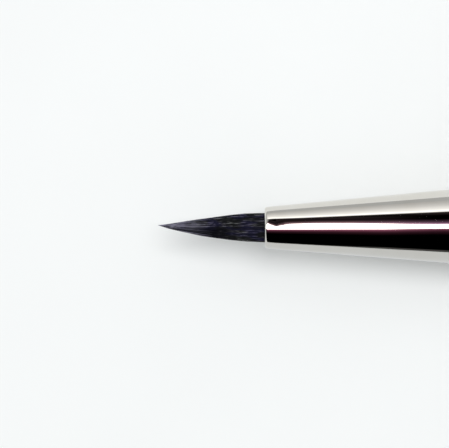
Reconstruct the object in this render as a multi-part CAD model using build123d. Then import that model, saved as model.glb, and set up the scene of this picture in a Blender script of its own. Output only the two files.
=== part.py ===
from build123d import *
import math
import os

# Fine detail brush, in millimetres. The brush's axis is X, the tip points to -X.
# X = 0 is the shoulder where the ferrule's taper meets its cylindrical barrel.

# Hair
HAIR_OUT = 6.8  # from the ferrule's mouth to the tip
HAIR_BURIED = 5.0  # from the mouth to the butt ends, inside the ferrule
HAIR_POINT = 1.7  # exponent of the tuft's outline: 1 is a cone, more is fuller
HAIR_TIP_RADIUS = 0.03
OUTLINE_POINTS = 9  # along the exposed hair
FLEX_OUT = 1.0  # the flex pivot's distance outside the mouth
FLEX_RANGE = 30.0  # degrees each way
FLEX_SPARE = 3.5  # degrees left between the two relief faces at full flex
FLEX_BALL_RADIUS = 0.6
FLEX_BALL_GAP = 0.05

# Binding thread on the butt ends
THREAD_DIAMETER = 0.2
THREAD_PITCH = 0.19
THREAD_TURNS = 5
THREAD_FROM_BUTT = 0.6  # last turn to the butt ends

# Ferrule
MOUTH_BORE_RADIUS = 0.95
MOUTH_WALL = 0.375  # the rolled lip is thicker than the tube behind it
MOUTH_ROUNDING = 0.15
MOUTH_INNER_ROUNDING = 0.06
MOUTH_SWAGE = 0.67  # length of the last stretch, which is swaged in a little more than the taper
MOUTH_SWAGE_RADIUS = 6.0
MOUTH_LAND = 0.8  # length of the narrow bore behind the mouth
TAPER_LENGTH = 17.0
BARREL_LENGTH = 9.0
BARREL_RADIUS = 2.8
FERRULE_WALL = 0.3
CRIMP_PLACES = (5.6, 7.4)  # middle of each ring crimp, from the shoulder
CRIMP_WIDTH = 0.8
CRIMP_DEPTH = 0.25

# Adhesive bed
RESIN_CAP = 1.0  # behind the butt ends
RESIN_HOLLOW = 0.25  # sag of the adhesive's back face

# Handle
TENON_IN_TAPER = 3.0  # how far the tenon reaches past the barrel into the taper
TENON_CHAMFER = 0.7
TENON_GLUE = 0.06
SHOULDER_STEP = 0.1  # how far the lacquered handle stands proud of the barrel
SHOULDER_SLOPE = 0.05  # radius gained per millimetre there
SHOULDER_RUN = 6.0  # how far that slope carries
BELLY_RADIUS = 3.6
BELLY_FROM_SHOULDER = 18.0
BELLY_RUN = 14.0  # how far the belly's fullness carries towards the thin end
HANDLE_LENGTH = 148.0  # outside the ferrule, lacquered
NECK_RADIUS = 1.35  # lacquered, where the rounded end begins
NECK_SLOPE = 0.004  # radius lost per millimetre there
NECK_RUN = 60.0  # how far the slender end carries towards the belly
LACQUER = 0.12
DIP_LENGTH = 12.0
DIP_COAT = 0.1

FACE_GAP = 0.005  # between pieces that touch

MOUTH_X = -TAPER_LENGTH
BUTT_X = MOUTH_X + HAIR_BURIED
FLEX_X = MOUTH_X - FLEX_OUT
HAIR_RADIUS = MOUTH_BORE_RADIUS - FACE_GAP
MOUTH_RADIUS = MOUTH_BORE_RADIUS + MOUTH_WALL
TAPER_SLOPE = (BARREL_RADIUS - MOUTH_RADIUS) / TAPER_LENGTH
SHOULDER_X = BARREL_LENGTH + FACE_GAP
SHOULDER_RADIUS = BARREL_RADIUS + SHOULDER_STEP
HANDLE_END_X = SHOULDER_X + HANDLE_LENGTH
TENON_NOSE_X = -TENON_IN_TAPER
WIDE = 4 * BELLY_RADIUS  # well outside every piece


def turned(*edges):
    """The solid turned about X from edges that run above the axis; the axis closes them."""
    wire = Wire(edges)
    closing = Line(wire @ 1, wire @ 0)
    return revolve(make_face([*wire.edges(), closing]), Axis.X)


def rod(radius, x_from, x_to):
    """A cylinder on the axis between two places along it."""
    return Pos((x_from + x_to) / 2, 0, 0) * Rot(0, 90, 0) * Cylinder(radius, x_to - x_from)


def ball(radius, x):
    """A ball on the axis, its poles on the axis too."""
    return Pos(x, 0, 0) * Rot(0, 90, 0) * Sphere(radius)


def quarter_round(x, radius, direction):
    """The arc that rounds an outline off onto the axis, on its -X (-1) or +X (+1) end."""
    diagonal = radius * math.sqrt(0.5)
    middle = (x + direction * diagonal, diagonal)
    return ThreePointArc((x, radius), middle, (x + direction * radius, 0))


def length_of(x_from, x_to):
    """Everything between two places along the axis."""
    return rod(WIDE, x_from, x_to)


# ---------------------------------------------------------------- hair

def hair_outline_radius(out):
    """Radius of the tuft at a distance out of the mouth."""
    return max(HAIR_RADIUS * (1 - (out / HAIR_OUT) ** HAIR_POINT), HAIR_TIP_RADIUS)


def hair_bundle():
    """The whole bundle, butt ends to tip."""
    reach = HAIR_OUT - HAIR_TIP_RADIUS
    places = [reach * i / (OUTLINE_POINTS - 1) for i in range(OUTLINE_POINTS)]
    points = [(MOUTH_X - out, hair_outline_radius(out)) for out in places]
    return turned(
        Line((BUTT_X, 0), (BUTT_X, HAIR_RADIUS)),
        Line((BUTT_X, HAIR_RADIUS), points[0]),
        Spline(*points),
        quarter_round(*points[-1], -1),
    )


def relief_cone(direction):
    """The space on one side (-1 tip, +1 ferrule) of the two relief faces at the pivot."""
    lean = math.radians(FLEX_RANGE / 2 + FLEX_SPARE)
    reach = HAIR_OUT + HAIR_BURIED
    far_x = FLEX_X + direction * reach
    rim = (far_x, reach / math.tan(lean))
    return turned(Line((FLEX_X, 0), rim), Line(rim, (far_x, 0)))


def hair_tuft():
    """The part that bends: everything past the pivot, with a ball that turns in the root."""
    return (hair_bundle() & relief_cone(-1)) + ball(FLEX_BALL_RADIUS, FLEX_X)


def hair_root():
    """The part held by the ferrule, with the cup for the tuft's ball."""
    cup = ball(FLEX_BALL_RADIUS + FLEX_BALL_GAP, FLEX_X)
    return (hair_bundle() & relief_cone(1)) - cup


# ---------------------------------------------------------------- binding thread

def root_thread(grow=0.0):
    """The turns of thread as one scalloped ring."""
    last = BUTT_X - THREAD_FROM_BUTT - THREAD_DIAMETER / 2
    turns = [last - i * THREAD_PITCH for i in range(THREAD_TURNS)]
    inside = HAIR_RADIUS + FACE_GAP
    middle = inside + THREAD_DIAMETER / 2
    sleeve = rod(middle, turns[-1], turns[0]) - rod(inside - grow, turns[-1], turns[0])
    ring = Rot(0, 90, 0) * Torus(middle, THREAD_DIAMETER / 2 + grow)
    return sleeve + [Pos(x, 0, 0) * ring for x in turns]


# ---------------------------------------------------------------- ferrule

def along_barrel(radius):
    """The barrel's line at a radius, shoulder to rear edge, dipping at each ring crimp."""
    edges = []
    x = 0.0
    for place in CRIMP_PLACES:
        front = (place - CRIMP_WIDTH / 2, radius)
        rear = (place + CRIMP_WIDTH / 2, radius)
        edges.append(Line((x, radius), front))
        edges.append(ThreePointArc(front, (place, radius - CRIMP_DEPTH), rear))
        x = rear[0]
    edges.append(Line((x, radius), (BARREL_LENGTH, radius)))
    return edges


def mouth_swage():
    """The arc that carries the taper's line on to the mouth, curving in."""
    x = MOUTH_X + MOUTH_SWAGE
    slant = math.atan(TAPER_SLOPE)
    bend = math.asin(math.sin(slant) + MOUTH_SWAGE / MOUTH_SWAGE_RADIUS) - slant
    start = (x, BARREL_RADIUS + TAPER_SLOPE * x)
    return JernArc(start, (-1, -TAPER_SLOPE), MOUTH_SWAGE_RADIUS, math.degrees(bend))


def ferrule_outside():
    """The ferrule without its hollow."""
    swage = mouth_swage()
    face = make_face([
        Line((MOUTH_X, 0), swage @ 1),
        swage,
        Line(swage @ 0, (0, BARREL_RADIUS)),
        *along_barrel(BARREL_RADIUS),
        Line((BARREL_LENGTH, BARREL_RADIUS), (BARREL_LENGTH, 0)),
        Line((BARREL_LENGTH, 0), (MOUTH_X, 0)),
    ])
    lip = face.vertices().sort_by_distance(swage @ 1)[0]
    return revolve(fillet(lip, MOUTH_ROUNDING), Axis.X)


def ferrule_hollow(inset=0.0):
    """The hollow behind the mouth's narrow bore, shrunk by an inset."""
    radius = BARREL_RADIUS - FERRULE_WALL - inset
    bore = MOUTH_BORE_RADIUS - inset
    land_end = MOUTH_X + MOUTH_LAND
    ramp = (radius + TAPER_SLOPE * land_end - bore) / (1 - TAPER_SLOPE)
    ramp_end = (land_end + ramp, bore + ramp)
    return turned(
        Line((MOUTH_X, 0), (MOUTH_X, bore)),
        Line((MOUTH_X, bore), (land_end, bore)),
        Line((land_end, bore), ramp_end),
        Line(ramp_end, (0, radius)),
        *along_barrel(radius),
        Line((BARREL_LENGTH, radius), (BARREL_LENGTH, 0)),
    )


def ferrule():
    tube = ferrule_outside() - ferrule_hollow()
    inner_lip = tube.edges().sort_by_distance((MOUTH_X, MOUTH_BORE_RADIUS, 0))[0]
    return fillet(inner_lip, MOUTH_INNER_ROUNDING)


# ---------------------------------------------------------------- adhesive bed

def root_resin():
    """Adhesive round the thread and behind the butt ends, up to the ferrule's wall."""
    front = MOUTH_X + MOUTH_LAND
    back = BUTT_X + RESIN_CAP
    room = ferrule_hollow(FACE_GAP) & length_of(front, back)
    hair = rod(HAIR_RADIUS + FACE_GAP, front, BUTT_X + FACE_GAP)
    rim = BARREL_RADIUS - FERRULE_WALL + TAPER_SLOPE * back
    curve = (rim**2 + RESIN_HOLLOW**2) / (2 * RESIN_HOLLOW)
    meniscus = ball(curve, back - RESIN_HOLLOW + curve)
    return room - hair - root_thread(FACE_GAP) - meniscus


# ---------------------------------------------------------------- handle

def handle_body(inset):
    """The handle outside the ferrule, shrunk by an inset from its lacquered outline."""
    shoulder = Vector(SHOULDER_X, SHOULDER_RADIUS - inset)
    belly = Vector(SHOULDER_X + BELLY_FROM_SHOULDER, BELLY_RADIUS - inset)
    neck = Vector(HANDLE_END_X - NECK_RADIUS, NECK_RADIUS - inset)
    past_shoulder = shoulder + Vector(SHOULDER_RUN, SHOULDER_RUN * SHOULDER_SLOPE)
    before_belly = belly - Vector(SHOULDER_RUN, 0)
    past_belly = belly + Vector(BELLY_RUN, 0)
    before_neck = neck + Vector(-NECK_RUN, NECK_RUN * NECK_SLOPE)
    return turned(
        Line((SHOULDER_X, 0), shoulder),
        Bezier(shoulder, past_shoulder, before_belly, belly),
        Bezier(belly, past_belly, before_neck, neck),
        quarter_round(neck.X, neck.Y, 1),
    )


def tenon():
    """The handle's end inside the ferrule, which runs on into the handle."""
    blank = ferrule_hollow(TENON_GLUE) & length_of(TENON_NOSE_X, BARREL_LENGTH)
    nose = blank.faces().sort_by(Axis.X)[0]
    neck = rod(BARREL_RADIUS - FERRULE_WALL - TENON_GLUE, BARREL_LENGTH, SHOULDER_X)
    return chamfer(nose.edges(), TENON_CHAMFER) + neck


def handle():
    """The turned wood: tenon and handle in one."""
    return tenon() + handle_body(LACQUER)


def tenon_glue():
    """The glue film on the tenon, between the end of its chamfer and the shoulder."""
    room = ferrule_hollow(FACE_GAP) & length_of(TENON_NOSE_X + TENON_CHAMFER, BARREL_LENGTH)
    return room - ferrule_hollow(TENON_GLUE - FACE_GAP)


def handle_lacquer():
    """The lacquer coat on the handle's outside."""
    return handle_body(0) - handle_body(LACQUER - FACE_GAP)


def end_dip():
    """The second coat, on the handle's thin end."""
    coat = handle_body(-DIP_COAT) - handle_body(-FACE_GAP)
    return coat & length_of(HANDLE_END_X - DIP_LENGTH, HANDLE_END_X + DIP_COAT)


PIECES = {
    "ferrule": ferrule,
    "hair_tuft": hair_tuft,
    "hair_root": hair_root,
    "root_thread": root_thread,
    "root_resin": root_resin,
    "handle": handle,
    "tenon_glue": tenon_glue,
    "handle_lacquer": handle_lacquer,
    "end_dip": end_dip,
}

os.makedirs("parts", exist_ok=True)
for name, make in PIECES.items():
    export_step(make(), f"parts/{name}.step")
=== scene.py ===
import math
import random

import bpy
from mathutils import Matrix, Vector


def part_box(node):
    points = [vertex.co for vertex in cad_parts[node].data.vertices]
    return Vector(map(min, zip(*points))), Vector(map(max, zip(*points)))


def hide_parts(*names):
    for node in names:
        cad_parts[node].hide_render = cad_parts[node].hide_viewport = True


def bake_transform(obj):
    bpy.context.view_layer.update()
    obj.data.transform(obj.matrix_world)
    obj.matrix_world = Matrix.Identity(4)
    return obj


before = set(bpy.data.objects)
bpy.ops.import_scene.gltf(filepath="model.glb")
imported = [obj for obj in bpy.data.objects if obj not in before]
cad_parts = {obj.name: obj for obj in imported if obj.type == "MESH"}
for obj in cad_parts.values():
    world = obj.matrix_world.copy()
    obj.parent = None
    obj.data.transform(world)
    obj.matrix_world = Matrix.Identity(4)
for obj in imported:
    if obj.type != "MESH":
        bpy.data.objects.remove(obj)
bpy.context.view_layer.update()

MM = 0.001
random.seed(11)

# ------------------------------------------------------------------ places, from the frame

BORE_MOUTH_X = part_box("ferrule")[0].x
TIP_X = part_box("hair_tuft")[0].x
BUTT_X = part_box("hair_root")[1].x
BUNDLE_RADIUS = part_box("hair_root")[1].y
HAIR_OUT = BORE_MOUTH_X - TIP_X
HAIR_BURIED = BUTT_X - BORE_MOUTH_X

# ------------------------------------------------------------------ hair bundle

HAIRS = 640
HAIR_THICK = 0.037 * MM  # radius of a hair over most of its length
HAIR_FINE = 0.009 * MM  # radius of its natural point
HAIR_POINT = 1.7  # how full the tuft's outline is: 1 would be a straight cone
HAIR_STEPS = 11
STEP_CROWDING = 1.25  # over 1, the steps crowd towards the point
PLACE_SCATTER = 0.25  # radians, off an even spiral
OUTER_ENDS_EARLY = 0.3  # the most that a hair at the outside is shorter by, as a share
OUTER_RARITY = 2.2  # over 1, few of them are much shorter
END_SCATTER = 0.02  # as a share too
SWAY = 0.22  # radians round the bundle, from mouth to point
SWELL = 0.05  # of a hair's distance from the middle
SWELL_WAVES = 1.1
THINNING = 2.5  # over 1, a hair thins mostly near its point
STRAYS = 18  # the last hairs, which lie loose on the outside, end early and are paler
STRAY_ENDS_EARLY = (0.12, 0.4)
STRAY_LIFT = 0.03 * MM
STRAY_TONE = (1.2, 2.0)  # the other hairs' tones run from 0 to 1
TIP_LEAN = 0.16 * MM  # the point is brushed slightly to +Y
TIP_FLICK = 0.06 * MM  # and its last half millimetre a little more,
TIP_FLICK_POWER = 16  # because a high power of the length leaves the rest alone
MOUTH_BOW = 0.024 * MM  # the thick part bows the same way
MOUTH_BOW_SHARE = 0.55  # of the length that stands out
GOLDEN_TURN = math.pi * (3 - math.sqrt(5))

# ------------------------------------------------------------------ nodes and colours

NOISE = "ShaderNodeTexNoise"
RAMP = "ShaderNodeValToRGB"
SPREAD = "ShaderNodeMapRange"  # value, from low, from high, to low, to high
MATH = "ShaderNodeMath"
MIX = "ShaderNodeMix"
BUMP = "ShaderNodeBump"


def shade(hex_code):
    """An sRGB hex colour as the linear colour that Blender's sockets take."""
    parts = [int(hex_code[i:i + 2], 16) / 255 for i in (1, 3, 5)]
    linear = [p / 12.92 if p <= 0.04045 else ((p + 0.055) / 1.055) ** 2.4 for p in parts]
    return (*linear, 1.0)


def add(tree, kind, inputs, stops=(), **settings):
    """Adds a node and returns its outputs.

    Inputs go by name or in order, and one given as another node's output is linked. A colour
    ramp takes stops, each a position and a colour.
    """
    made = tree.nodes.new(kind)
    for name, value in settings.items():
        setattr(made, name, value)
    for name, value in inputs.items() if isinstance(inputs, dict) else enumerate(inputs):
        if isinstance(value, bpy.types.NodeSocket):
            tree.links.new(value, made.inputs[name])
        else:
            made.inputs[name].default_value = value
    if stops:
        elements = made.color_ramp.elements
        elements.remove(elements[-1])
        elements[0].position, elements[0].color = stops[0]
        for position, colour in stops[1:]:
            elements.new(position).color = colour
    return made.outputs


def new_material(name):
    """An empty node material and its tree."""
    material = bpy.data.materials.new(name)
    material.use_nodes = True
    material.node_tree.nodes.clear()
    return material, material.node_tree


def finish_material(tree, inputs):
    """The Principled shader with these inputs, wired to the output."""
    surface = add(tree, "ShaderNodeBsdfPrincipled", inputs)["BSDF"]
    add(tree, "ShaderNodeOutputMaterial", {"Surface": surface})


def pattern_place(tree, along, across):
    """The surface's own place, counted in patterns that measure along by across millimetres."""
    place = add(tree, "ShaderNodeTexCoord", {})["Object"]
    scale = (1 / (along * MM), 1 / (across * MM), 1 / (across * MM))
    return add(tree, "ShaderNodeMapping", {"Vector": place, "Scale": scale})["Vector"]


# ------------------------------------------------------------------ materials


def bright_nickel_plate():
    """Bright nickel plate on a drawn and polished brass tube.

    The buffing wheel ran round the tube, so what fine marks are left run round it, and they
    soften the reflections a little without hiding any edge in them. They are drawn 0.09 mm
    apart, because real ones are too fine to show.
    """
    material, tree = new_material("bright_nickel_plate_on_drawn_brass")
    marks = add(tree, NOISE, {"Vector": pattern_place(tree, 0.09, 3), "Scale": 1, "Detail": 3})["Fac"]
    haze = add(tree, NOISE, {"Vector": pattern_place(tree, 2.5, 2.5), "Scale": 1, "Detail": 4})["Fac"]
    mixed = add(tree, MATH, [marks, haze], operation="MULTIPLY")[0]
    bump = add(tree, BUMP, {"Height": marks, "Strength": 0.02, "Distance": 0.004 * MM})
    tint = add(tree, RAMP, [haze], stops=[(0.3, shade("#D8D4CC")), (0.7, shade("#DEDBD5"))])
    finish_material(tree, {
        "Base Color": tint["Color"],
        "Metallic": 1.0,
        "Roughness": add(tree, SPREAD, [mixed, 0.15, 0.4, 0.02, 0.05])[0],
        "Normal": bump["Normal"],
    })
    return material


def shaft_colour(tree, tone, broken, painted_shade):
    """Colour along the shafts: near black, with painted highlights where single hairs glint in short
    broken streaks, and darkened where shade is painted.
    """
    patches = add(tree, NOISE, {"Vector": pattern_place(tree, 1.1, 0.45), "Scale": 1, "Detail": 1})["Fac"]
    dark = add(tree, RAMP, [patches], stops=[
        (0.38, shade("#131415")),
        (0.5, shade("#121217")),
        (0.62, shade("#16162A")),
    ])
    painted_glint = add(tree, RAMP, [patches], stops=[
        (0.38, shade("#616263")),
        (0.5, shade("#605F66")),
        (0.65, shade("#605C74")),
    ])
    streaks = add(tree, SPREAD, [broken, 0.52, 0.68, 0, 1])[0]
    toned = add(tree, MATH, [streaks, tone], operation="MULTIPLY")[0]
    lit = add(tree, MIX, {0: toned, 6: dark["Color"], 7: painted_glint["Color"]}, data_type="RGBA")[2]
    # Painted shade: where the shade mask is 1, the colour is mixed most of the way to the near black
    # #04040C.
    deep = add(tree, MATH, [painted_shade, 0.92], operation="MULTIPLY")[0]
    return add(tree, MIX, {0: deep, 6: lit, 7: shade("#04040C")}, data_type="RGBA")[2]


def paleness(tree, tone, point, painted_shade):
    """How pale a hair is: greying in wisps towards its point as a painted sheen, less where shade is
    painted, more if it is loose.
    """
    wisps = add(tree, NOISE, {"Vector": pattern_place(tree, 1.7, 0.1), "Scale": 1, "Detail": 2})["Fac"]
    greying = add(tree, SPREAD, [point, 0.52, 0.88, 0, 1])[0]
    wispy = add(tree, SPREAD, [wisps, 0.42, 0.62, 0.15, 1])[0]
    shaded = add(tree, SPREAD, [painted_shade, 0, 0.8, 1, 0.25])[0]
    greying = add(tree, MATH, [greying, wispy], operation="MULTIPLY")[0]
    greying = add(tree, MATH, [greying, shaded], operation="MULTIPLY")[0]
    stray = add(tree, SPREAD, [tone, 1, 1.8, 0, 1])[0]
    outer = add(tree, SPREAD, [point, 0.48, 0.75, 0, 1])[0]
    stray = add(tree, MATH, [stray, outer], operation="MULTIPLY")[0]
    return add(tree, MATH, [greying, stray], operation="MAXIMUM")[0]


def dark_dressed_hair():
    """Dark dressed hair, near black with a violet-blue cast.

    Towards its tip the tuft greys in wisps, which is a painted sheen, and a few loose hairs on the
    outside show pale. The glints are painted highlights: a real glint is as wide as one hair, which
    is too fine to show, so the streaks are drawn 0.055 mm wide and the wisps 0.1 mm. The hairs on
    the -Y side past the mouth are darkened with painted shade.
    """
    material, tree = new_material("dark_dressed_hair")
    tone = add(tree, "ShaderNodeAttribute", {}, attribute_name="tone")["Fac"]
    point = add(tree, "ShaderNodeAttribute", {}, attribute_name="point")["Fac"]
    place = add(tree, "ShaderNodeSeparateXYZ", [pattern_place(tree, 1, 1)])
    # Painted shade: hairs on the -Y side, from about a third of the way out of the mouth, are darkened as
    # if the key light left them in shadow.
    near_side = add(tree, SPREAD, [place["Y"], -0.15, 0.12, 1, 0])[0]
    past_mouth = add(tree, SPREAD, [point, 0.28, 0.45, 0, 1])[0]
    painted_shade = add(tree, MATH, [near_side, past_mouth], operation="MULTIPLY")[0]
    broken = add(tree, NOISE, {"Vector": pattern_place(tree, 0.6, 0.055), "Scale": 1, "Detail": 2})["Fac"]
    finish_material(tree, {
        "Base Color": add(tree, MIX, {
            0: paleness(tree, tone, point, painted_shade),
            6: shaft_colour(tree, tone, broken, painted_shade),
            7: shade("#898799"),
        }, data_type="RGBA")[2],
        "Roughness": add(tree, SPREAD, [broken, 0.3, 0.7, 0.45, 0.3])[0],
        "Specular IOR Level": 0.02,
    })
    return material


def binding_thread():
    """Twisted polyester thread, dyed cream.

    The ply shows as slanting ridges, spaced as the thread is thick, 0.2 mm.
    """
    material, tree = new_material("twisted_polyester_thread")
    ply = add(tree, "ShaderNodeTexWave", {
        "Vector": pattern_place(tree, 0.2, 0.2),
        "Scale": 0.8,
        "Distortion": 1.0,
    }, bands_direction="DIAGONAL")["Fac"]
    colour = add(tree, RAMP, [ply], stops=[(0.0, shade("#A79A80")), (1.0, shade("#DDD3BC"))])
    bump = add(tree, BUMP, {"Height": ply, "Strength": 0.6, "Distance": 0.03 * MM})
    finish_material(tree, {
        "Base Color": colour["Color"],
        "Roughness": add(tree, SPREAD, [ply, 0, 1, 0.85, 0.72])[0],
        "Sheen Weight": 0.3,
        "Normal": bump["Normal"],
    })
    return material


def poured_resin():
    """Epoxy poured behind the hairs: amber and glossy where it set free.

    A few bubbles half a millimetre apart dimple it.
    """
    material, tree = new_material("poured_epoxy_resin")
    bubbles = add(tree, "ShaderNodeTexVoronoi", {"Vector": pattern_place(tree, 0.5, 0.5), "Scale": 1})
    clouds = add(tree, NOISE, {"Vector": pattern_place(tree, 1.2, 1.2), "Scale": 1})["Fac"]
    colour = add(tree, RAMP, [clouds], stops=[(0.3, shade("#8A5A1E")), (0.7, shade("#B07A2E"))])
    bump = add(tree, BUMP, {"Height": bubbles["Distance"], "Strength": 0.3, "Distance": 0.05 * MM})
    finish_material(tree, {
        "Base Color": colour["Color"],
        "Roughness": add(tree, SPREAD, [clouds, 0.3, 0.7, 0.15, 0.24])[0],
        "Normal": bump["Normal"],
    })
    return material


def turned_birch():
    """Birch turned between centres: pale, with close grain along the length.

    Its lines lie half a millimetre apart and run for about 14 mm.
    """
    material, tree = new_material("turned_birch")
    grain = add(tree, NOISE, {
        "Vector": pattern_place(tree, 14, 0.5),
        "Scale": 1,
        "Detail": 5,
        "Roughness": 0.6,
    })["Fac"]
    colour = add(tree, RAMP, [grain], stops=[
        (0.3, shade("#B98F5E")),
        (0.5, shade("#D9B98A")),
        (0.7, shade("#E6CDA4")),
    ])
    bump = add(tree, BUMP, {"Height": grain, "Strength": 0.3, "Distance": 0.04 * MM})
    finish_material(tree, {
        "Base Color": colour["Color"],
        "Roughness": add(tree, SPREAD, [grain, 0.3, 0.7, 0.7, 0.55])[0],
        "Normal": bump["Normal"],
    })
    return material


def set_glue():
    """The film of wood glue on the tenon: cream and half gloss, patchy where it was squeezed."""
    material, tree = new_material("set_wood_glue")
    patches = add(tree, NOISE, {"Vector": pattern_place(tree, 1.5, 0.8), "Scale": 1})["Fac"]
    colour = add(tree, RAMP, [patches], stops=[(0.3, shade("#C9B98C")), (0.7, shade("#E2D9B8"))])
    bump = add(tree, BUMP, {"Height": patches, "Strength": 0.3, "Distance": 0.03 * MM})
    finish_material(tree, {
        "Base Color": colour["Color"],
        "Roughness": add(tree, SPREAD, [patches, 0, 1, 0.3, 0.6])[0],
        "Normal": bump["Normal"],
    })
    return material


def dipped_lacquer(name, deep, lit):
    """Nitrocellulose lacquer from a dip tank: deep gloss over a faintly rippled film.

    The ripple is 1 to 3 mm from crest to crest. The film is duller in longer patches, where
    hands rub it.
    """
    material, tree = new_material(name)
    ripple = add(tree, NOISE, {"Vector": pattern_place(tree, 2.6, 1.3), "Scale": 1, "Detail": 1})["Fac"]
    rub = add(tree, NOISE, {
        "Vector": pattern_place(tree, 9, 2),
        "Scale": 1,
        "Detail": 6,
        "Roughness": 0.65,
    })["Fac"]
    colour = add(tree, RAMP, [rub], stops=[(0.35, shade(deep)), (0.7, shade(lit))])
    bump = add(tree, BUMP, {"Height": ripple, "Strength": 0.5, "Distance": 0.02 * MM})
    finish_material(tree, {
        "Base Color": colour["Color"],
        "Roughness": add(tree, SPREAD, [rub, 0.35, 0.75, 0.12, 0.3])[0],
        "Coat Weight": 0.8,
        "Coat Roughness": 0.04,
        "Normal": bump["Normal"],
        "Coat Normal": bump["Normal"],
    })
    return material


def dress_nodes(hair):
    """Gives every CAD node its finish."""
    finishes = {
        "ferrule": bright_nickel_plate(),
        "hair_tuft": hair,
        "hair_root": hair,
        "root_thread": binding_thread(),
        "root_resin": poured_resin(),
        "handle": turned_birch(),
        "tenon_glue": set_glue(),
        "handle_lacquer": dipped_lacquer("black_dipped_lacquer", "#08080A", "#0E0E12"),
        "end_dip": dipped_lacquer("dark_red_dipped_lacquer", "#4A0A10", "#5C0E16"),
    }
    for name, material in finishes.items():
        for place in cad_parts[name].material_slots:
            place.material = material


# ------------------------------------------------------------------ hairs


def tuft_radius(out):
    """Radius of the bundle's outline at a distance out of the mouth."""
    share = min(max(out / HAIR_OUT, 0.0), 1.0)
    return BUNDLE_RADIUS * (1 - share ** HAIR_POINT)


def tuft_lean(out):
    """How far the bundle's middle lies off its axis, at a distance out of the mouth."""
    gone = max(out, 0.0) / HAIR_OUT
    bow = math.sin(math.pi * min(gone / MOUTH_BOW_SHARE, 1.0))
    return TIP_LEAN * gone ** 2 + TIP_FLICK * gone ** TIP_FLICK_POWER + MOUTH_BOW * bow


def hair_path(index):
    """Points and thickness along one hair, from its butt to its own point."""
    layer = math.sqrt((index + 0.5) / HAIRS)  # 0 at the axis, 1 at the outside
    turn = index * GOLDEN_TURN + random.uniform(-PLACE_SCATTER, PLACE_SCATTER)
    stray = index >= HAIRS - STRAYS
    if stray:
        early = random.uniform(*STRAY_ENDS_EARLY)
    else:
        early = OUTER_ENDS_EARLY * layer * random.random() ** OUTER_RARITY
    reach = HAIR_OUT * (1 - early - END_SCATTER * random.random())
    sway = random.uniform(-SWAY, SWAY)
    swell = random.uniform(-SWELL, SWELL)
    points = []
    for step in range(HAIR_STEPS + 1):
        along = 1 - (1 - step / HAIR_STEPS) ** STEP_CROWDING
        out = (HAIR_BURIED + reach) * along - HAIR_BURIED
        share = max(out / reach, 0.0)
        thick = HAIR_THICK + (HAIR_FINE - HAIR_THICK) * share ** THINNING
        room = max(tuft_radius(out) - thick, 0.0)
        wave = swell * math.sin(2 * math.pi * SWELL_WAVES * share)
        spread = min(room * layer * (1 + wave), room)
        if stray:
            spread += STRAY_LIFT * share ** 2
        angle = turn + sway * share
        y = spread * math.cos(angle) + tuft_lean(out)
        z = spread * math.sin(angle)
        points.append(((BORE_MOUTH_X - out, y, z), thick))
    return points


def strand_mesh(paths):
    """One mesh of a tapered strand along every path."""
    curve = bpy.data.curves.new("brush_hairs", "CURVE")
    curve.dimensions = "3D"
    curve.bevel_depth = 1.0
    curve.bevel_resolution = 0
    curve.use_fill_caps = True
    for path in paths:
        spline = curve.splines.new("POLY")
        spline.points.add(len(path) - 1)
        for point, (place, thick) in zip(spline.points, path):
            point.co = (*place, 1.0)
            point.radius = thick
    bundle = bpy.data.objects.new("brush_hairs", curve)
    bpy.context.scene.collection.objects.link(bundle)
    bpy.ops.object.select_all(action="DESELECT")
    bundle.select_set(True)
    bpy.context.view_layer.objects.active = bundle
    bpy.ops.object.convert(target="MESH")
    bundle.data.shade_smooth()
    return bundle


def brush_hairs(material):
    """The whole bundle: every hair its own tapered strand, gathered to the point."""
    paths = []
    tones = []
    for index in range(HAIRS):
        paths.append(hair_path(index))
        stray = index >= HAIRS - STRAYS
        tones.append(random.uniform(*STRAY_TONE) if stray else random.random())
    bundle = strand_mesh(paths)
    bundle.visible_glossy = False  # so the plate's lip stays as light as the room in front of it
    mesh = bundle.data
    mesh.materials.clear()
    mesh.materials.append(material)
    per_hair = len(mesh.vertices) // HAIRS
    tone = mesh.attributes.new("tone", "FLOAT", "POINT")
    tone.data.foreach_set("value", [tones[i // per_hair] for i in range(len(mesh.vertices))])
    point = mesh.attributes.new("point", "FLOAT", "POINT")
    shares = [(BORE_MOUTH_X - vertex.co.x) / HAIR_OUT for vertex in mesh.vertices]
    point.data.foreach_set("value", [max(share, 0.0) for share in shares])
    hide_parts("hair_tuft", "hair_root")
    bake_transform(bundle)


# ------------------------------------------------------------------ table

TABLE_SIZE = 6.0
SETTLING_ROUNDS = 4
UNEVEN = 17  # millimetres from one faint patch of the paint to the next


def resting_line():
    """(height, slope) of the line along X that the brush's underside rests on.

    It touches the belly and the tail, and a few rounds settle where.
    """
    belly = [v.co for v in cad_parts["handle_lacquer"].data.vertices]
    tail = [v.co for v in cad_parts["end_dip"].data.vertices]
    slope = 0.0
    for _ in range(SETTLING_ROUNDS):
        touch = min(belly, key=lambda co: co.z - slope * co.x)
        slope = min((co.z - touch.z) / (co.x - touch.x) for co in tail)
    return touch.z - slope * touch.x, slope


def matt_table_paint():
    """Matt white paint, rolled on, with a trace of unevenness."""
    material, tree = new_material("matt_white_table_paint")
    uneven = add(tree, NOISE, {"Vector": pattern_place(tree, UNEVEN, UNEVEN), "Scale": 1})["Fac"]
    colour = add(tree, RAMP, [uneven], stops=[(0.3, shade("#EDEFEF")), (0.7, shade("#EFF1F1"))])
    finish_material(tree, {
        "Base Color": colour["Color"],
        "Roughness": add(tree, SPREAD, [uneven, 0, 1, 0.85, 0.95])[0],
        "Specular IOR Level": 0.0,
    })
    return material


def lay_table(height, slope):
    """The pale table top, tilted to the line that the brush rests on."""
    bpy.ops.mesh.primitive_plane_add(size=TABLE_SIZE)
    table = bpy.context.object
    table.name = "table"
    table.rotation_euler = (0, -math.atan(slope), 0)
    table.location = (0, 0, height)
    table.data.materials.append(matt_table_paint())


# ------------------------------------------------------------------ what the plate mirrors

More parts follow.
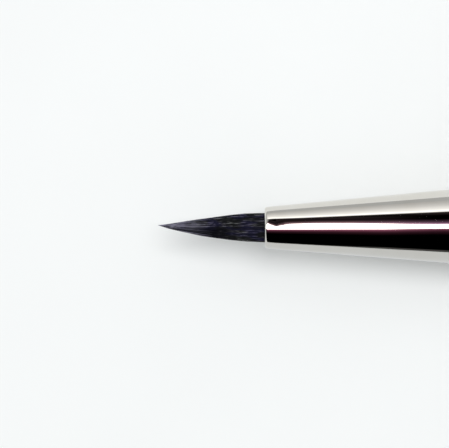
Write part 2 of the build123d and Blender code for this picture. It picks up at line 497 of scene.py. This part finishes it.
# What the plate shows, as a colour and a gain on it.
DARK = ("#000000", 1.0)
DIM = ("#241E20", 1.0)
HORIZON = ("#404040", 1.0)
LAMP = ("#FFFFFF", 2.6)
WALL_FOOT = ("#FFFFFF", 1.2)
# The lamp's two edges, by the angle across: in degrees from straight up, positive towards +Y.
LAMP_NEAR = -8.7
LAMP_FAR = 14.0
# Past an edge the diffuser's rose light dies away: its colour, and the degrees in which it halves.
NEAR_CAST = ("#B46A88", 3.1)
MOUTH_CAST = ("#C09AA6", 2.5)
BARREL_CAST = ("#C490B8", 2.8)
EDGE_BLUR = 1.8
FRINGE_REACH = 15.0
FRINGE_STOPS = 6
# The lit far wall is brightest at its foot and greys evenly upwards.
FAR_WALL = [
    (46, DARK), (49.1, WALL_FOOT), (51.5, WALL_FOOT), (57, ("#F0F0F0", 1.0)),
    (70, ("#CACACA", 1.0)), (83, ("#B0B0B0", 1.0)), (95, ("#A4A4A4", 1.0)),
]
PLATE_REFLECTANCE = 0.7

# How far an edge has moved at an angle ahead, towards the tip. Each is two angles ahead and the
# shift at each of them, all in degrees. The lamp hangs askew,
LAMP_SKEW = (0.2, 5.2, -10.1, 2.5)
LAMP_NEAR_SKEW = (0.2, 2.5, 6.6, 1.2)
# narrows where the ferrule begins to curve in, and widens in a wedge beyond.
LAMP_NARROWS = (6.85, 7.4, 0.0, -9.5)
LAMP_NOTCH = (7.4, 7.6, 0.0, -15.0)
LAMP_WEDGE = (8.2, 15.6, 0.0, 31.0)
WALL_SKEW = (5.5, 7.5, 0.0, 2.0)
# The share of these shifts that an edge takes, by the angle across.
FAR_EDGE_TAKES = (0.0, 8.0, 0.0, 1.0)
NEAR_EDGE_TAKES = (-12.0, 0.0, 1.0, 0.0)
TOWARDS_BARREL = (0.2, 4.0, 1.0, 0.0)

# The angle ahead at which the pale screen beyond the tip begins, by the angle across.
SCREEN_BEGINS_HIGH = (12.0, 24.0, 68.0, 0.0)
SCREEN_BEGINS_FAR = (24.0, 44.0, 16.2, 13.4)
SCREEN_BEGINS_NEAR = (-90.0, -56.0, 10.0, 120.0)
SCREEN_EDGE = (0.0, 2.5, 0.0, 1.0)
SCREEN = "#AEAEAE"

WALL_Y = 22 * MM
WALL_TOP = 2 * MM
CARD_FRONT_X = -80 * MM
CARD_BACK_X = 260 * MM
NEAR_TABLE_Y = -1.2 * MM
NEAR_TABLE_LIFT = 0.05 * MM


def before_plate(hex_code, gain=1.0):
    """The colour that has to shine on the plate for this one to be seen in it."""
    return (*[c * gain / PLATE_REFLECTANCE for c in shade(hex_code)[:3]], 1)


def as_seen(stops):
    """Ramp stops over a full turn, for what is seen in the plate."""
    return [(degrees / 360 + 0.5, before_plate(*seen)) for degrees, seen in stops]


def fringe(edge, way, cast):
    """Stops past an edge of the lamp, where its coloured light halves every few degrees."""
    hex_code, halves = cast
    stops = []
    for step in range(FRINGE_STOPS):
        faded = FRINGE_REACH * step / (FRINGE_STOPS - 1)
        stops.append((edge + way * (EDGE_BLUR + faded), (hex_code, 0.5 ** (faded / halves))))
    return sorted(stops)


def strip_light(tree, across, ahead):
    """The long strip light overhead, hung askew, with the dark near side under it."""
    far_shift = add(tree, SPREAD, [ahead, *LAMP_SKEW])[0]
    for bend in (LAMP_NARROWS, LAMP_NOTCH, LAMP_WEDGE):
        step = add(tree, SPREAD, [ahead, *bend])[0]
        far_shift = add(tree, MATH, [far_shift, step], operation="ADD")[0]
    far_takes = add(tree, SPREAD, [across, *FAR_EDGE_TAKES])[0]
    far_shift = add(tree, MATH, [far_shift, far_takes], operation="MULTIPLY")[0]
    near_shift = add(tree, SPREAD, [ahead, *LAMP_NEAR_SKEW])[0]
    near_takes = add(tree, SPREAD, [across, *NEAR_EDGE_TAKES])[0]
    near_shift = add(tree, MATH, [near_shift, near_takes], operation="MULTIPLY")[0]
    met = add(tree, MATH, [across, far_shift], operation="SUBTRACT")[0]
    met = add(tree, MATH, [met, near_shift], operation="SUBTRACT")[0]
    turn = add(tree, SPREAD, [met, -180, 180, 0, 1])[0]
    near_side = [(-90, HORIZON), (-88, DARK), (-34, DARK), *fringe(LAMP_NEAR, -1, NEAR_CAST)]
    lamp = [*near_side, (LAMP_NEAR, LAMP), (LAMP_FAR, LAMP)]
    mouth_end = [*fringe(LAMP_FAR, 1, MOUTH_CAST), (42, DIM), (48, DARK)]
    barrel_end = [*fringe(LAMP_FAR, 1, BARREL_CAST), (33, DARK), (46, DARK), (53, DIM), (58, DARK)]
    at_mouth = add(tree, RAMP, [turn], stops=as_seen([*lamp, *mouth_end]))
    at_barrel = add(tree, RAMP, [turn], stops=as_seen([*lamp, *barrel_end]))
    return add(tree, MIX, {
        0: add(tree, SPREAD, [ahead, *TOWARDS_BARREL])[0],
        6: at_mouth["Color"],
        7: at_barrel["Color"],
    }, data_type="RGBA")[2]


def far_wall(tree, across, ahead):
    """The glowing wall on the far side."""
    skew = add(tree, SPREAD, [ahead, *WALL_SKEW])[0]
    met = add(tree, MATH, [across, skew], operation="SUBTRACT")[0]
    turn = add(tree, SPREAD, [met, -180, 180, 0, 1])[0]
    return add(tree, RAMP, [turn], stops=as_seen(FAR_WALL))["Color"]


def past_screen_edge(tree, across, ahead):
    """1 where a reflection meets the screen beyond the tip, and 0 where it doesn't."""
    high = add(tree, SPREAD, [across, *SCREEN_BEGINS_HIGH])[0]
    far = add(tree, SPREAD, [across, *SCREEN_BEGINS_FAR])[0]
    near = add(tree, SPREAD, [across, *SCREEN_BEGINS_NEAR])[0]
    far = add(tree, MATH, [high, far], operation="ADD")[0]
    begins = add(tree, MATH, [far, near], operation="MINIMUM")[0]
    past = add(tree, MATH, [ahead, begins], operation="SUBTRACT")[0]
    return add(tree, SPREAD, [past, *SCREEN_EDGE])[0]


def room_in_gloss(tree):
    """The room as the plate mirrors it, by the direction in which a reflection leaves."""
    way = add(tree, "ShaderNodeTexCoord", {})["Generated"]
    parts = add(tree, "ShaderNodeSeparateXYZ", [way])
    across = add(tree, MATH, [parts["Y"], parts["Z"]], operation="ARCTAN2")[0]
    across = add(tree, MATH, [across], operation="DEGREES")[0]
    ahead = add(tree, MATH, [parts["X"]], operation="ARCSINE")[0]
    ahead = add(tree, MATH, [ahead, -math.degrees(1)], operation="MULTIPLY")[0]  # the tip is at -X
    room = add(tree, MIX, {
        0: 1.0,
        6: strip_light(tree, across, ahead),
        7: far_wall(tree, across, ahead),
    }, data_type="RGBA", blend_type="ADD")[2]
    return add(tree, MIX, {
        0: past_screen_edge(tree, across, ahead),
        6: room,
        7: before_plate(SCREEN),
    }, data_type="RGBA")[2]


def glowing_card(name, corners, hex_code):
    """A flat glowing card that only reflections meet: a painted reflection, not a lamp."""
    material, tree = new_material(name)
    glow = add(tree, "ShaderNodeEmission", {"Color": before_plate(hex_code), "Strength": 1.0})
    add(tree, "ShaderNodeOutputMaterial", {"Surface": glow[0]})
    mesh = bpy.data.meshes.new(name)
    mesh.from_pydata(corners, [], [(0, 1, 2, 3)])
    mesh.materials.append(material)
    card = bpy.data.objects.new(name, mesh)
    bpy.context.scene.collection.objects.link(card)
    card.visible_camera = False
    card.visible_diffuse = False
    card.visible_shadow = False
    card.visible_transmission = False


def stand_cards(height, slope):
    """Glowing cards that paint the plate's reflection of the far wall's foot and of the greyer table on
    the near side.
    """
    front = height + slope * CARD_FRONT_X
    back = height + slope * CARD_BACK_X
    glowing_card("far_wall_foot_reflection_card", [
        (CARD_FRONT_X, WALL_Y, front),
        (CARD_BACK_X, WALL_Y, back),
        (CARD_BACK_X, WALL_Y, WALL_TOP),
        (CARD_FRONT_X, WALL_Y, WALL_TOP),
    ], "#A3A5A6")
    # Painted reflection: a glowing grey sheet just above the table, seen only in reflections, in place of
    # the table's own.
    glowing_card("near_table_reflection_card", [
        (CARD_FRONT_X, NEAR_TABLE_Y, front + NEAR_TABLE_LIFT),
        (CARD_BACK_X, NEAR_TABLE_Y, back + NEAR_TABLE_LIFT),
        (CARD_BACK_X, -TABLE_SIZE / 2, back + NEAR_TABLE_LIFT),
        (CARD_FRONT_X, -TABLE_SIZE / 2, front + NEAR_TABLE_LIFT),
    ], "#BEC1C3")


# ------------------------------------------------------------------ lights and camera

AMBIENT_COLOUR = "#FEFFFF"
AMBIENT_STRENGTH = 0.61
BACKDROP = "#F6F7F8"
KEY_STRENGTH = 1.36
KEY_SPREAD = 26  # degrees
KEY_FROM = (0.144, 0.173, 1)
SIDE_WATTS = 0.0075
SIDE_SIZE = 70 * MM
SIDE_PLACE = (0, 30 * MM, 72 * MM)
SIDE_FROM = (0, 0.3, 1)

CAMERA_PLACE = (-19.55 * MM, 0.255 * MM, 79.4 * MM)
CAMERA_ROLL = -0.46  # degrees
CAMERA_LENS = 100
CAMERA_NEAR = 5 * MM


def light_room():
    """The room: evenly pale for what it lights, and with dark and bright parts for the plate."""
    world = bpy.data.worlds.new("studio")
    bpy.context.scene.world = world
    world.use_nodes = True
    world.cycles.sampling_method = "NONE"
    tree = world.node_tree
    tree.nodes.clear()
    ray = add(tree, "ShaderNodeLightPath", {})
    soft = add(tree, "ShaderNodeBackground", [shade(AMBIENT_COLOUR), AMBIENT_STRENGTH])
    seen = add(tree, "ShaderNodeBackground", [shade(BACKDROP), 1.0])
    mirrored = add(tree, "ShaderNodeBackground", [room_in_gloss(tree), 1.0])
    lit = add(tree, "ShaderNodeMixShader", [ray["Is Glossy Ray"], soft[0], mirrored[0]])
    whole = add(tree, "ShaderNodeMixShader", [ray["Is Camera Ray"], lit[0], seen[0]])
    add(tree, "ShaderNodeOutputWorld", {"Surface": whole[0]})


def hang_light(name, data, came_from, place=(0, 0, 0)):
    """Hangs a light that shines from that direction, and that no reflection shows."""
    light = bpy.data.objects.new(name, data)
    light.location = place
    light.rotation_mode = "QUATERNION"
    light.rotation_quaternion = Vector(came_from).to_track_quat("Z", "Y")
    light.visible_glossy = False
    bpy.context.scene.collection.objects.link(light)


def hang_lights():
    """A wide soft key, high up on the far side, and a small lamp that lifts the table there."""
    key = bpy.data.lights.new("key", "SUN")
    key.energy = KEY_STRENGTH
    key.angle = math.radians(KEY_SPREAD)
    hang_light("key", key, KEY_FROM)
    side = bpy.data.lights.new("side", "AREA")
    side.energy = SIDE_WATTS
    side.size = SIDE_SIZE
    hang_light("side", side, SIDE_FROM, SIDE_PLACE)


def place_camera():
    """Straight above the tuft, as far away as a close-up is taken."""
    data = bpy.data.cameras.new("camera")
    data.lens = CAMERA_LENS
    data.clip_start = CAMERA_NEAR
    camera = bpy.data.objects.new("camera", data)
    camera.location = CAMERA_PLACE
    camera.rotation_euler = (0, 0, math.radians(CAMERA_ROLL))
    bpy.context.scene.collection.objects.link(camera)
    bpy.context.scene.camera = camera


hair = dark_dressed_hair()
dress_nodes(hair)
brush_hairs(hair)
rest_height, rest_slope = resting_line()
lay_table(rest_height, rest_slope)
stand_cards(rest_height, rest_slope)
light_room()
hang_lights()
place_camera()
bpy.context.scene.view_settings.view_transform = "Standard"
